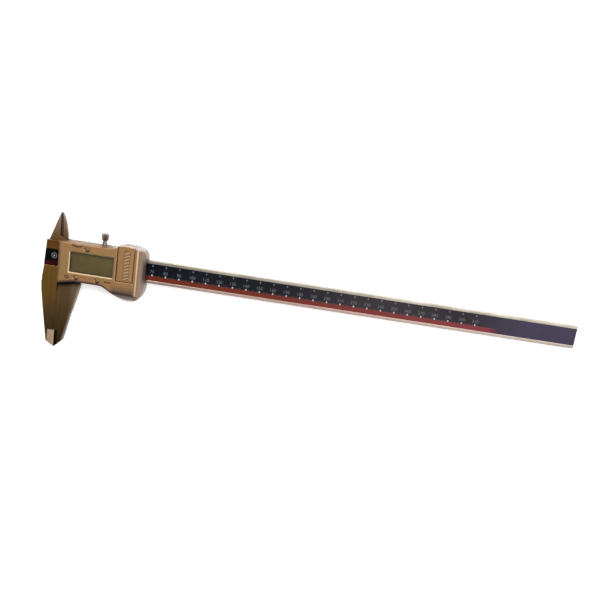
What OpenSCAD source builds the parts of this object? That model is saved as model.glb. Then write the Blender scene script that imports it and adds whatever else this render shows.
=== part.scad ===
// Digital caliper, 300 mm, lying on its back with the jaws closed.
// X runs along the beam from the zero plane, Y towards the inside jaws, Z up.
// The origin is on the rest plane, where the zero plane meets the beam's centre line.

/* [Beam] */
// Measuring range, which is also the slider's travel
travel = 300; // [200:10:300]
// Beam from the zero plane to its free end
beam_len = 384; // [384:2:400]
// Width of the beam
beam_w = 17; // [17:0.2:17.4]
// Thickness of the beam and of all four jaws
beam_t = 4; // [4:0.1:4.2]
// Width of the printed scale film
film_w = 12.5; // [11:0.1:12.8]

/* [Jaws] */
// Tip of the outside jaws, below the beam's centre line
jaw_depth = 68.5; // [62:0.5:70]
// Tip of the inside jaws, above the beam's centre line
blade_height = 34; // [31:0.5:35]
// Height of the knife-edge bevels at the outside tips
knife_len = 12; // [8:0.5:14]
// Depth of those bevels at the measuring edge
knife_cut = 1.5; // [0.8:0.1:1.8]

/* [Housing] */
// Front face of the cover, above the rest plane
cover_top = 14.5; // [14.5:0.1:15]
// Right end of the cover, from the zero plane
cover_end = 65.8; // [65.8:0.1:66.4]
// Cover's upper edge, above the beam's centre line
cover_up = 14.6; // [14.6:0.1:15]
// Cover's lower edge, below the beam's centre line
cover_down = 14; // [14:0.1:14.4]
// Wall of the cover
wall = 1.3; // [1.1:0.05:1.3]
// Thickness of the plate that closes the back
plate_t = 1.4; // [1.2:0.1:1.4]

/* [Display] */
// Width of the display opening
window_w = 32; // [30:0.5:32]
// Height of the display opening
window_h = 15; // [13:0.5:15]

/* [Battery] */
// Diameter of the button cell
cell_d = 11.6; // [11.6:0.1:11.8]
// Thickness of the button cell
cell_t = 5.4; // [5:0.1:5.4]
// Width of the battery door
door_w = 11.8; // [11.4:0.1:11.9]

/* [Controls] */
// Diameter of the push buttons
button_d = 3.2; // [2.8:0.1:3.2]
// Diameter of the lock screw's knurled head
lock_head_d = 5.4; // [4.6:0.1:6]
// Place of the lock screw along the beam
lock_x = 32.5; // [30:0.5:35]

/* [Hidden] */
$fn = 48;

// Heights above the rest plane
gap = 0.1;
beam_z = plate_t + gap;
beam_top = beam_z + beam_t;
half_z = beam_z + beam_t / 2;
rail_top = beam_top + gap;
bridge_top = rail_top + 1.3;
board_t = 1;
board_top = rail_top + board_t;
skin_t = 1.4;
skin_z = cover_top - skin_t;

// Across the beam
edge = beam_w / 2;
rail_up = cover_up - wall - 0.3;
rail_down = cover_down - wall - 0.2;
gib_t = 0.7;
rail_end = 62.5;
bridge_w = 7;

// Scale strip in the beam's front recess
film_t = 0.25;
circuit_t = 0.5;
recess_d = film_t + circuit_t + 0.05;
film_end = beam_len - 0.2;
film_left = 10;

// Depth rod and its groove
rod_w = 3;
rod_t = 1.3;
rod_x = 55;
rod_z = beam_z + 0.1;
groove_w = rod_w + 0.4;
groove_top = rod_z + rod_t + 0.15;

// Beam's end stop
stop_x = cover_end + travel + 3;
stop_len = 10;

// Inside blades overlap in X and pass each other in Z
blade_gap = 0.05;
blade_root = cover_up - 1.5;
blade_edge_y = 17;

// Slopes of the cover at its left and right ends and on its thumb side
slope_h = 6.5;
left_slope_x = 4.2;
left_slope_run = 3.2;
left_slope_h = 5;
end_slope_x = cover_end - 5.3;
thumb_slope_y = -18;
thumb_slope_run = 6;

// Display stack
window_x = 11.2;
window_y = 0.5;
window_mid = window_x + window_w / 2;
lens_t = 1;
lcd_t = 1.6;
lcd_z = skin_z - lens_t - 0.1 - lcd_t;
lcd_w = window_w + 2;
lcd_h = window_h + 1;
holder_wall = 0.6;
strip_w = 1.6;

// Battery bay
bay_x = 52;
cell_y = 4;
cell_z = board_top + 0.8;
door_low = -8.3;
door_t = 1.3;
door_z = skin_z - 0.1;
door_lip = 6.5;
tongue = 0.6;
tongue_t = 0.6;
cover_crown = 3.3;
door_end = cover_up + cover_crown;

// Buttons: places, travel and the parts of one button
button_up = [23.4, rail_up - 1.9];
button_left = [16.6, -rail_down + 1.9];
button_right = [32.4, -rail_down + 1.9];
button_travel = 0.4;
dome_d = 3.4;
dome_h = 0.35;
flange_d = button_d + 0.5;

// Lock screw
lock_core_d = 2.5;
lock_neck_d = 3.2;
lock_head_y = 18.2;
lock_head_len = 5.1;
lock_tip_y = edge + gib_t + 0.7;

// Screws: places as [x, y]
cover_screw_at = [[4.2, 10.8], [4.2, -11], [54, -18], [60, 14.9]];
plate_screw_at = [[22, 11.2], [42, 11.2], [22, -10.6], [42, -10.6]];
board_screw_at = [[10.2, 11], [56, 11], [10.2, -10.6], [56, -10.6]];
rod_screw_at = [[57.5, 0], [62, 0]];
stop_screw_at = [[stop_x + stop_len / 2, 5.2], [stop_x + stop_len / 2, -5.2]];
gib_screw_x = [14, 50];

// Smooth step from 0 to 1
function ramp(t) = let (c = min(1, max(0, t))) c * c * (3 - 2 * c);

// Cover's upper and lower edges: straight, with a bulge at the battery end
function edge_up(x) = cover_up + cover_crown * ramp((x - 39) / 11) - 1.1 * pow(max(0, x - 51) / 11, 2);
function edge_down(x) = -cover_down - 2.5 * (1 - ramp(x / 17)) - 9.7 * ramp((x - 33) / 21);

function ellipse_arc(cx, cy, rx, ry, a0, a1, n = 10) =
    [for (i = [0:n]) let (a = a0 + (a1 - a0) * i / n) [cx + rx * cos(a), cy + ry * sin(a)]];

// Closed outline of the cover, moved inwards by inset
function cover_outline(inset) = concat(
    [for (x = [1 + inset:2.5:54]) [x, edge_down(x) + inset]],
    ellipse_arc(56.5, -11, cover_end - 56.5 - inset, 12.7 - inset, -90, 0),
    ellipse_arc(60.3, 10, cover_end - 60.3 - inset, 6.9 - inset, 0, 90),
    [for (x = [58:-2.5:1 + inset]) [x, edge_up(x) - inset]],
    [[1 + inset, cover_up - inset]]
);

// Left outline of the fixed jaw, from the block's top to the tip
fixed_jaw_edge = [
    [-9.8, blade_root - 0.3], [-10.1, 5.4], [-10.9, -7.4], [-11.7, -14.5],
    [-12.05, -20], [-11.7, -25], [-9.85, -39], [-6.1, -jaw_depth + 4.4], [-0.5, -jaw_depth]
];

// Right outline of the sliding jaw, from the tip to its root
sliding_jaw_edge = [
    [0.5, -jaw_depth], [6.6, -jaw_depth + 6], [11, -43], [14.2, -31],
    [17, -19.5], [17.4, -rail_down]
];

// A countersunk screw that points up, its head flush with the plane z = 0
module countersunk(r, len) {
    cylinder(r = r, h = len);
    cylinder(r1 = 1.8 * r, r2 = r, h = 0.8 * r);
}

// Clearance for the same screw
module countersunk_hole(r, len) {
    translate([0, 0, -1]) cylinder(r = r + 0.05, h = len + 1.2);
    translate([0, 0, -0.01]) cylinder(r1 = 1.8 * r + 0.05, r2 = r + 0.05, h = 0.8 * r + 0.02);
}

// A block between two corners
module block(low, high) {
    translate(low) cube(high - low);
}

// A prism along Y whose section is drawn in X and Z
module along_y(y_low, y_high, section) {
    translate([0, y_high, 0]) rotate([90, 0, 0]) linear_extrude(y_high - y_low) polygon(section);
}

// A prism along X whose section is drawn in Y and Z
module along_x(x_low, x_high, section) {
    translate([x_low, 0, 0]) rotate([90, 0, 90]) linear_extrude(x_high - x_low) polygon(section);
}

// Wedge that a knife-edge bevel removes; side is -1 left of the zero plane, 1 right of it
module knife_bevel(side) {
    reach = 5;
    along_y(-jaw_depth - 1, -jaw_depth + 1 + knife_len,
        [[side * reach, beam_top], [-side * 0.01, beam_top - knife_cut],
         [-side * 0.01, beam_top + 1], [side * reach, beam_top + 1]]);
}

// Beam, fixed outside jaw and fixed inside blade in one piece
module beam() {
    color("tan") difference() {
        union() {
            translate([0, 0, beam_z]) linear_extrude(beam_t) polygon(concat(
                fixed_jaw_edge,
                [[0, -jaw_depth], [0, -edge], [beam_len, -edge], [beam_len, edge], [0, edge],
                 [0, blade_root - 0.3]]));
            translate([0, 0, beam_z]) linear_extrude(beam_t / 2 - blade_gap) polygon([
                [-6.5, blade_root - 0.4], [-0.1, blade_root - 0.4], [-0.1, blade_root + 0.3],
                [5.2, blade_root + 0.3], [4.9, 18], [3.1, 27.2], [0.4, blade_height],
                [0, blade_height], [0, blade_edge_y]]);
        }
        block([-20, -film_w / 2 - 0.05, beam_top - recess_d],
            [beam_len + 1, film_w / 2 + 0.05, beam_top + 1]);
        block([rod_x - 2, -groove_w / 2, beam_z - 1], [beam_len + 1, groove_w / 2, groove_top]);
        knife_bevel(-1);
        for (at = stop_screw_at) translate([at[0], at[1], 0]) cylinder(r = 1, h = beam_z + 2);
    }
}

// Flat strip in the recess, from the fixed jaw's edge to the beam's end
module scale_strip(z, t) {
    translate([0, 0, z]) linear_extrude(t) polygon([
        [-film_left, film_w / 2], [film_end, film_w / 2],
        [film_end, -film_w / 2], [-film_left - 0.7, -film_w / 2]]);
}

module scale_circuit() {
    color("peru") scale_strip(beam_top - recess_d, circuit_t);
}

module scale_film() {
    color([0.1, 0.1, 0.14]) scale_strip(beam_top - recess_d + circuit_t, film_t);
}

// Plate that stops the slider and keeps the depth rod in its groove
module end_stop() {
    color("silver") difference() {
        block([stop_x, -edge + 0.6, 0], [stop_x + stop_len, edge - 0.6, beam_z]);
        for (at = stop_screw_at) translate([at[0], at[1], 0]) countersunk_hole(1, beam_z);
    }
}

module end_stop_screws() {
    color("gray") for (at = stop_screw_at) translate([at[0], at[1], 0]) countersunk(1, beam_z + 1.8);
}

// Moving inside blade: front half of the thickness, with its edge on the zero plane
module inside_blade() {
    translate([0, 0, half_z + blade_gap]) linear_extrude(beam_t / 2 - blade_gap) polygon([
        [-7.6, blade_root], [6, blade_root - 0.5], [5.5, blade_root + 0.6], [0, blade_edge_y],
        [0, blade_height], [-0.4, blade_height], [-7.6, blade_root + 0.5]]);
}

// Slider: rails above and below the beam, bridges in front of it, and the moving jaws
module slider_frame() {
    color([0.45, 0.36, 0.22]) difference() {
        union() {
            block([0, edge + gap, plate_t], [rail_end, rail_up, rail_top]);
            block([0, -rail_down, plate_t], [rail_end, -edge - gap / 2, rail_top]);
            block([0, -rail_down, rail_top], [bridge_w, rail_up, bridge_top]);
            block([58.3, -rail_down, rail_top], [rail_end, rail_up, board_top]);
            translate([0, 0, beam_z]) linear_extrude(beam_t) polygon(concat(
                [[0, -rail_down]], [[0, -jaw_depth]], sliding_jaw_edge));
            inside_blade();
        }
        block([1.9, edge + gap / 2, plate_t + 0.5], [rail_end - 0.4, edge + gib_t + 2 * gap, beam_top - 0.4]);
        knife_bevel(1);
        relief();
        translate([lock_x, 0, half_z]) rotate([-90, 0, 0]) cylinder(r = lock_core_d / 2 + 0.05, h = 20);
        for (x = gib_screw_x) translate([x, 0, half_z]) rotate([-90, 0, 0])
            translate([0, 0, edge]) cylinder(r = 1.02, h = 10);
        for (at = cover_screw_at) translate([at[0], at[1], 0]) cylinder(r = 1.05, h = cover_top);
        for (at = plate_screw_at) translate([at[0], at[1], 0]) cylinder(r = 0.82, h = 4.8);
        for (at = board_screw_at) translate([at[0], at[1], 3]) cylinder(r = 0.82, h = 5);
    }
}

// Relief at the root of the outside jaws, cut from the front
module relief() {
    translate([0, 0, beam_top - 2.6]) linear_extrude(5)
        polygon([[-0.1, -rail_down], [2, -rail_down], [-0.1, -28]]);
}

module gib_strip() {
    color("goldenrod") block([2, edge + gap, plate_t + 0.6],
        [rail_end - 0.5, edge + gap + gib_t, beam_top - 0.5]);
}

module gib_screws() {
    color("gray") for (x = gib_screw_x) translate([x, edge + gap + gib_t, half_z]) rotate([-90, 0, 0])
        difference() {
            cylinder(r = 1, h = 3.2);
            translate([-1.2, -0.2, 2.6]) cube([2.4, 0.4, 1]);
        }
}

module back_plate() {
    color("silver") difference() {
        linear_extrude(plate_t) polygon(cover_outline(0));
        for (at = plate_screw_at) translate([at[0], at[1], 0]) countersunk_hole(0.8, plate_t);
        for (at = rod_screw_at) translate([at[0], at[1], 0]) countersunk_hole(0.6, plate_t);
        for (at = cover_screw_at) translate([at[0], at[1], 0]) countersunk_hole(1, plate_t);
    }
}

module back_plate_screws() {
    color("gray") for (at = plate_screw_at) translate([at[0], at[1], 0]) countersunk(0.8, 4.6);
}

module depth_rod() {
    color("silver") difference() {
        union() {
            block([rod_x, -rod_w / 2, rod_z], [beam_len, rod_w / 2, rod_z + rod_t]);
            block([rod_x, -rod_w / 2, plate_t], [rod_x + 10, rod_w / 2, rod_z]);
        }
        for (at = rod_screw_at) translate([at[0], at[1], 0]) cylinder(r = 0.62, h = rod_z + 1);
    }
}

module depth_rod_screws() {
    color("gray") for (at = rod_screw_at) translate([at[0], at[1], 0]) countersunk(0.6, rod_z + 0.9);
}

// Cover: a shell with three sloping sides, posts for its screws and openings for the controls
module front_cover() {
    color([0.72, 0.58, 0.4]) difference() {
        union() {
            difference() {
                cover_body(0, plate_t, cover_top);
                cover_body(wall, plate_t - 1, skin_z);
            }
            for (i = [0:3]) cover_post(cover_screw_at[i], i < 2 ? bridge_top : plate_t);
        }
        frame_room();
        block([window_x, window_y - window_h / 2, skin_z - 1],
            [window_x + window_w, window_y + window_h / 2, cover_top + 1]);
        for (at = [button_up, button_left, button_right])
            translate([at[0], at[1], skin_z - 1]) cylinder(r = button_d / 2 + 0.15, h = 5);
        battery_bay();
        translate([lock_x, 10, half_z]) rotate([-90, 0, 0]) cylinder(r = lock_neck_d / 2 + 0.3, h = 10);
        for (x = gib_screw_x) translate([x, 10, half_z]) rotate([-90, 0, 0]) cylinder(r = 1.2, h = 12);
        for (at = cover_screw_at) translate([at[0], at[1], -1]) cylinder(r = 1.02, h = 11.2);
    }
}

// Outer or inner body of the cover
module cover_body(inset, low, high) {
    difference() {
        translate([0, 0, low]) linear_extrude(high - low) polygon(cover_outline(inset));
        along_y(-40, 40, [
            [left_slope_x + inset, cover_top],
            [left_slope_x + inset - left_slope_run, cover_top - left_slope_h],
            [-10, cover_top - left_slope_h], [-10, cover_top + 1], [left_slope_x + inset, cover_top + 1]]);
        along_y(-40, 40, [
            [end_slope_x - inset, cover_top], [end_slope_x - inset + 5.8, cover_top - slope_h],
            [80, cover_top - slope_h], [80, cover_top + 1]]);
        along_x(-10, 80, [
            [thumb_slope_y + inset, cover_top],
            [thumb_slope_y + inset - thumb_slope_run, cover_top - slope_h],
            [-40, cover_top - slope_h], [-40, cover_top + 1]]);
    }
}

// Post for a cover screw, kept under the skin and its slopes
module cover_post(at, low) {
    intersection() {
        translate([at[0], at[1], low]) cylinder(r = 1.7, h = skin_z - low + 0.1);
        cover_body(0.4, plate_t, cover_top);
    }
}

// Room under the cover for the beam, the jaws and the slider's rails and bridges
module frame_room() {
    block([-1, -edge - 0.3, 0], [cover_end + 1, edge + 0.3, rail_top + 0.1]);
    block([-1, -rail_down - 0.15, 0], [bridge_w + 0.15, rail_up + 0.15, bridge_top]);
    block([-1, -20, 0], [18.2, -rail_down, rail_top + 0.1]);
    block([-1, rail_up, 0], [8, 20, rail_top + 0.1]);
}

// Opening for the door, the grooves that its tongues run in, and the notch for its lip
module battery_bay() {
    half = door_w / 2 + 0.1;
    block([bay_x - half, door_low - 0.15, skin_z - 1], [bay_x + half, 30, cover_top + 1]);
    block([bay_x - half - tongue, door_low - 0.15, door_z - 0.1],
        [bay_x + half + tongue, 30, door_z + tongue_t + 0.1]);
    block([bay_x - half, door_end - 2.3, cover_top - door_lip - 0.1], [bay_x + half, 30, cover_top + 1]);
}

// Door: a plate with side tongues and a turned-down lip that follows the cover's edge
module battery_door() {
    color([0.7, 0.55, 0.38]) intersection() {
        union() {
            block([bay_x - door_w / 2, door_low, door_z], [bay_x + door_w / 2, door_end, door_z + door_t]);
            block([bay_x - door_w / 2 - tongue, door_low, door_z],
                [bay_x + door_w / 2 + tongue, door_end - 2.2, door_z + tongue_t]);
            block([bay_x - door_w / 2, door_end - 2, cover_top - door_lip],
                [bay_x + door_w / 2, door_end, door_z]);
        }
        cover_body(0.1, plate_t, cover_top);
    }
}

module cover_screws() {
    color("gray") for (at = cover_screw_at) translate([at[0], at[1], 0]) countersunk(1, 9.6);
}

module circuit_board() {
    color("darkgreen") difference() {
        block([bridge_w + 0.8, -rail_down, rail_top], [57.8, rail_up, board_top]);
        for (at = board_screw_at) translate([at[0], at[1], rail_top - 1]) cylinder(r = 0.85, h = 3);
    }
}

module board_screws() {
    color("gray") for (at = board_screw_at) translate([at[0], at[1], 3.4]) {
        cylinder(r = 0.8, h = board_top - 3.4);
        translate([0, 0, board_top - 3.4]) cylinder(r = 1.3, h = 0.7);
    }
}

module driver_chip() {
    color([0.08, 0.08, 0.08]) translate([window_mid, window_y, board_top]) {
        cylinder(r = 4.5, h = 0.6);
        translate([0, 0, 0.6]) cylinder(r1 = 4.5, r2 = 3.4, h = 0.8);
    }
}

// Snap dome under each button
module switch_domes() {
    color("silver") for (at = [button_up, button_left, button_right])
        translate([at[0], at[1], board_top]) cylinder(r1 = dome_d / 2, r2 = dome_d / 4, h = dome_h);
}

// Frame that holds the display over the circuit board
module lcd_holder() {
    outer = [lcd_w / 2 + holder_wall, lcd_h / 2 + holder_wall];
    color("white") translate([window_mid, window_y, 0]) difference() {
        block([-outer[0], -outer[1], board_top], [outer[0], outer[1], lcd_z + lcd_t]);
        block([-lcd_w / 2 - 0.05, -lcd_h / 2 - 0.05, board_top - 1],
            [lcd_w / 2 + 0.05, lcd_h / 2 + 0.05, lcd_z + lcd_t + 1]);
    }
}

module lcd_contact_strips() {
    offset_y = (lcd_h - strip_w) / 2 - 0.1;
    color("hotpink") for (side = [-1, 1]) translate([window_mid, window_y + side * offset_y, 0])
        block([-lcd_w / 2 + 1, -strip_w / 2, board_top], [lcd_w / 2 - 1, strip_w / 2, lcd_z]);
}

module lcd_panel() {
    color([0.37, 0.33, 0.2]) translate([window_mid, window_y, 0])
        block([-lcd_w / 2, -lcd_h / 2, lcd_z], [lcd_w / 2, lcd_h / 2, lcd_z + lcd_t]);
}

module lcd_window() {
    color([0.8, 0.85, 0.8, 0.4]) translate([window_mid, window_y, 0])
        block([-lcd_w / 2 + 0.2, -lcd_h / 2 - 0.3, skin_z - lens_t],
            [lcd_w / 2 - 0.2, lcd_h / 2 + 0.3, skin_z]);
}

module battery_cell() {
    color("silver") translate([bay_x, cell_y, cell_z]) {
        cylinder(r = cell_d / 2 - 1, h = 0.5);
        translate([0, 0, 0.5]) cylinder(r = cell_d / 2, h = cell_t - 0.5);
    }
}

// Leaf under the cell: a foot on the board, a ramp and a contact pad
module battery_spring() {
    leaf = 0.2;
    color("goldenrod") along_y(cell_y - 2, cell_y + 2, [
        [bay_x - 4, board_top], [bay_x - 1.5, board_top], [bay_x + 2, cell_z - leaf],
        [bay_x + 3.5, cell_z - leaf], [bay_x + 3.5, cell_z], [bay_x + 1.8, cell_z],
        [bay_x - 1.7, board_top + leaf], [bay_x - 4, board_top + leaf]]);
}

// Side contact that touches the cell's rim
module battery_clip() {
    leaf = 0.3;
    side = cell_y - cell_d / 2;
    color("goldenrod") {
        block([bay_x - 3, side - leaf, board_top], [bay_x + 3, side, cell_z + cell_t - 1]);
        block([bay_x - 3, side - 2.5, board_top], [bay_x + 3, side - leaf, board_top + leaf]);
    }
}

// Lock screw, turned about Y: thread, neck and a head that tapers to the neck
module lock_screw() {
    color("gray") translate([lock_x, 0, half_z]) rotate([-90, 0, 0]) {
        translate([0, 0, lock_tip_y]) cylinder(r = lock_core_d / 2, h = lock_head_y - lock_tip_y);
        translate([0, 0, cover_up - 0.9]) cylinder(r = lock_neck_d / 2, h = lock_head_y - cover_up + 0.9);
        translate([0, 0, lock_head_y]) cylinder(r1 = lock_neck_d / 2, r2 = lock_head_d / 2, h = 1.4);
        translate([0, 0, lock_head_y + 1.4]) cylinder(r = lock_head_d / 2, h = lock_head_len - 1.4);
    }
}

// Push button: cap, flange that keeps it under the skin, and a stem to its dome
module push_button(at) {
    stem_z = board_top + dome_h + button_travel + 0.05;
    flange_z = skin_z - 0.05;
    color([0.6, 0.48, 0.33]) translate([at[0], at[1], 0]) {
        translate([0, 0, stem_z]) cylinder(r = 0.8, h = flange_z - stem_z);
        translate([0, 0, flange_z - 0.6]) cylinder(r = flange_d / 2, h = 0.6);
        translate([0, 0, flange_z]) cylinder(r = button_d / 2, h = cover_top - 0.15 - flange_z);
    }
}

module mode_button() {
    push_button(button_up);
}

module power_button() {
    push_button(button_left);
}

module zero_button() {
    push_button(button_right);
}

beam();
scale_circuit();
scale_film();
end_stop();
end_stop_screws();
slider_frame();
gib_strip();
gib_screws();
back_plate();
back_plate_screws();
depth_rod();
depth_rod_screws();
front_cover();
cover_screws();
circuit_board();
board_screws();
driver_chip();
switch_domes();
lcd_holder();
lcd_contact_strips();
lcd_panel();
lcd_window();
battery_cell();
battery_spring();
battery_clip();
lock_screw();
mode_button();
power_button();
zero_button();
battery_door();
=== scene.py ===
import math

import bmesh
import bpy
import numpy as np
from mathutils import Matrix, Vector


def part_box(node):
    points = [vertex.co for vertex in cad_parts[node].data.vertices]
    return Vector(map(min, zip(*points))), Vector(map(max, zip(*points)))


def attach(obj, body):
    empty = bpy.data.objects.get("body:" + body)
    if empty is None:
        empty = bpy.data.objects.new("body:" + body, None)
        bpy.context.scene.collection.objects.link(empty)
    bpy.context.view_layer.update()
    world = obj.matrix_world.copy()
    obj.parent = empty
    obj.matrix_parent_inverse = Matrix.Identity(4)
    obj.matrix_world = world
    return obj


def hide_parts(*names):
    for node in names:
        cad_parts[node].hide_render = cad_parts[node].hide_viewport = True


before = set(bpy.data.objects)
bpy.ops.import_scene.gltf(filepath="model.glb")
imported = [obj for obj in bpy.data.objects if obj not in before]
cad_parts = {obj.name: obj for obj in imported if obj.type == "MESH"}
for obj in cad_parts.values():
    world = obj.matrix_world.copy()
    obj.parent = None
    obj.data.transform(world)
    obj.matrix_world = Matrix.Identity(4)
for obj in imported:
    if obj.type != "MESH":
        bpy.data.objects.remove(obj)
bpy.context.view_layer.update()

MM = 0.001


# -------- measures, in millimetres

def box_mm(node):
    low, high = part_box(node)
    return np.array(low) / MM, np.array(high) / MM


def middle_of(node):
    return sum(box_mm(node)) / 2


BEAM_LOW, BEAM_HIGH = box_mm("beam")
FILM_HIGH = box_mm("scale_film")[1]
COVER_LOW, COVER_HIGH = box_mm("front_cover")
WINDOW_LOW, WINDOW_HIGH = box_mm("lcd_window")
PANEL_LOW, PANEL_HIGH = box_mm("lcd_panel")
DOOR_LOW, DOOR_HIGH = box_mm("battery_door")
LOCK_X, _, LOCK_Z = middle_of("lock_screw")
DOOR_X = middle_of("battery_door")[0]
BUTTONS = ("mode_button", "power_button", "zero_button")

WALL = 1.3
BULGE_DEPTH = 9.7
SKIN_Z = WINDOW_HIGH[2]
TOP = COVER_HIGH[2]
END_RIDGE = COVER_HIGH[0] - 5.3
# The cover's slopes: the axis across, [across, height] where each leaves the top and where it ends, and the
# radius of the ridge between.
SLOPES = ((0, (END_RIDGE, TOP), (COVER_HIGH[0] + 0.5, TOP - 6.5), 2.6),
          (0, (COVER_LOW[0] + 3.2, TOP), (COVER_LOW[0], TOP - 5.0), 1.2),
          (1, (COVER_LOW[1] + 5.7, TOP), (COVER_LOW[1] - 0.3, TOP - 6.5), 5.0))
RIDGE_CUTS = 7
UPRIGHT_ROUND, RIM_ROUND = 0.8, 0.6
WINDOW_RIM = 0.8
WINDOW = (WINDOW_LOW[:2] + WINDOW_RIM, WINDOW_HIGH[:2] - WINDOW_RIM)
BUTTON_HOLE, BUTTON_DISH = (1.75, 1.75), (2.35, 1.95)
COVER_SCREWS = ((4.2, 10.8), (4.2, -11), (54, -18), (60, 14.9))
GIB_SCREW_X = (14, 50)
MARK_DEPTH = 0.22
DOOR_TONGUE = 0.6
POCKET_DEPTH = 0.12
RIBS, RIB_STEP = 9, 2.35
HATCHES, HATCH_STEP = 40, 0.52

FILM_TOP = FILM_HIGH[2]
INK_UP = 0.03
STRIPE_TOP = -2.7
STRIPE_END = 320.0
MARK_STEP = 10
LAST_MARK = 310


# -------- node materials

class Nodes:
    """A node tree under construction, with short calls that add nodes to it."""

    def __init__(self, tree):
        self.tree = tree

    def node(self, kind, inputs=(), **settings):
        """A new node; inputs pairs the names or numbers of its inputs with what they get."""
        made = self.tree.nodes.new("ShaderNode" + kind)
        for key, value in settings.items():
            setattr(made, key, value)
        for key, value in dict(inputs).items():
            self.feed(made.inputs[key], value)
        return made

    def feed(self, socket, value):
        """Gives an input another node's output, a colour of three numbers or a plain value."""
        if isinstance(value, bpy.types.NodeSocket):
            self.tree.links.new(value, socket)
        elif socket.type == "RGBA":
            socket.default_value = (*value, 1.0)
        else:
            socket.default_value = value

    def math(self, operation, a, b=0.0):
        return self.node("Math", enumerate((a, b)), operation=operation).outputs[0]

    def both(self, *masks):
        """1 only where every mask is 1."""
        product = masks[0]
        for mask in masks[1:]:
            product = self.math("MULTIPLY", product, mask)
        return product

    def blend(self, a, b, share):
        """a by its share and b by the rest."""
        return self.math("ADD", self.math("MULTIPLY", a, share), self.math("MULTIPLY", b, 1.0 - share))

    def spread(self, value, low, high, to_low=0.0, to_high=1.0, how="LINEAR"):
        """Maps value from low..high to to_low..to_high, clamped."""
        return self.node("MapRange", enumerate((value, low, high, to_low, to_high)),
                         interpolation_type=how).outputs[0]

    def within(self, value, low, high, soft=0.2):
        """1 between low and high, 0 outside, with soft ends."""
        return self.both(self.spread(value, low - soft, low + soft),
                         self.spread(value, high - soft, high + soft, 1.0, 0.0))

    def mix(self, factor, a, b, how="MIX"):
        made = self.node("Mix", {0: factor, 6: a, 7: b}, data_type="RGBA", blend_type=how)
        return made.outputs[2]

    def painted(self, colour, *layers):
        """The colour under layers, each [its colour, a mask, more masks] and laid over the ones before."""
        for over, *masks in layers:
            colour = self.mix(self.both(*masks), colour, over)
        return colour

    def ramp(self, value, stops):
        """Blends from colour to colour as value passes the stops, [place, colour] in rising order."""
        return self.painted(stops[0][1], *[(onward, self.spread(value, low, high))
                                           for (low, _), (high, onward) in zip(stops, stops[1:])])

    def part(self, vector, axis):
        """One coordinate of a vector."""
        return self.node("SeparateXYZ", {0: vector}).outputs[axis]


class Shader(Nodes):
    """A material under construction, on a Principled shader."""

    def __init__(self, name):
        self.material = bpy.data.materials.new(name)
        self.material.use_nodes = True
        super().__init__(self.material.node_tree)
        where = self.node("TexCoord")
        self.place = where.outputs["Object"]
        self.facing = where.outputs["Normal"]

    def axis(self, axis):
        """One coordinate of the object place, in millimetres."""
        return self.math("MULTIPLY", self.part(self.place, axis), 1.0 / MM)

    def toward(self, axis):
        """One coordinate of the surface's direction."""
        return self.part(self.facing, axis)

    def noise(self, scale, detail=4.0, vector=None):
        inputs = {"Vector": vector or self.place, "Scale": scale, "Detail": detail, "Roughness": 0.55}
        return self.node("TexNoise", inputs).outputs["Fac"]

    def streaks(self, axis, along, across, detail):
        """Noise with one scale along an axis and another across it."""
        scale = [along if other == axis else across for other in "XYZ"]
        mapping = self.node("Mapping", {"Vector": self.place, "Scale": scale})
        return self.noise(1.0, detail, mapping.outputs["Vector"])

    def bump(self, height, distance, under=None):
        made = self.node("Bump", {"Height": height, "Distance": distance})
        if under is not None:
            self.feed(made.inputs["Normal"], under)
        return made.outputs["Normal"]

    def finish(self, **values):
        """Sets the shader's inputs and gives the material; underscores in a name stand for spaces."""
        shader = self.tree.nodes["Principled BSDF"]
        for name, value in values.items():
            self.feed(shader.inputs[name.replace("_", " ")], value)
        return self.material


def scaled(colour, factor):
    return tuple(min(1.0, factor * c) for c in colour)


def brushed_metal(name, dark, light, along, roughness):
    """Ground steel: fine streaks along one axis and faint blotches."""
    shade = Shader(name)
    streak = shade.streaks(along, 60, 4200, 3.0)
    band = shade.streaks(along, 25, 1300, 2.0)
    tone = shade.blend(shade.noise(90.0, 3.0), shade.blend(streak, band, 0.35), 0.25)
    return shade.finish(Base_Color=shade.mix(shade.spread(tone, 0.35, 0.65), dark, light),
                        Roughness=shade.spread(band, 0.3, 0.7, roughness - 0.07, roughness + 0.09),
                        Normal=shade.bump(streak, 0.00002), Metallic=1.0)


def above_lower_edge(shade, y):
    """How far y is above the cover's lower edge, in millimetres."""
    x = shade.axis("X")
    straight = COVER_LOW[1] + BULGE_DEPTH
    left = shade.spread(x, 0, 17, straight - 2.5, straight, "SMOOTHSTEP")
    edge = shade.math("ADD", left, shade.spread(x, 33, 54, 0.0, -BULGE_DEPTH, "SMOOTHSTEP"))
    return shade.math("SUBTRACT", y, edge)


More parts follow.
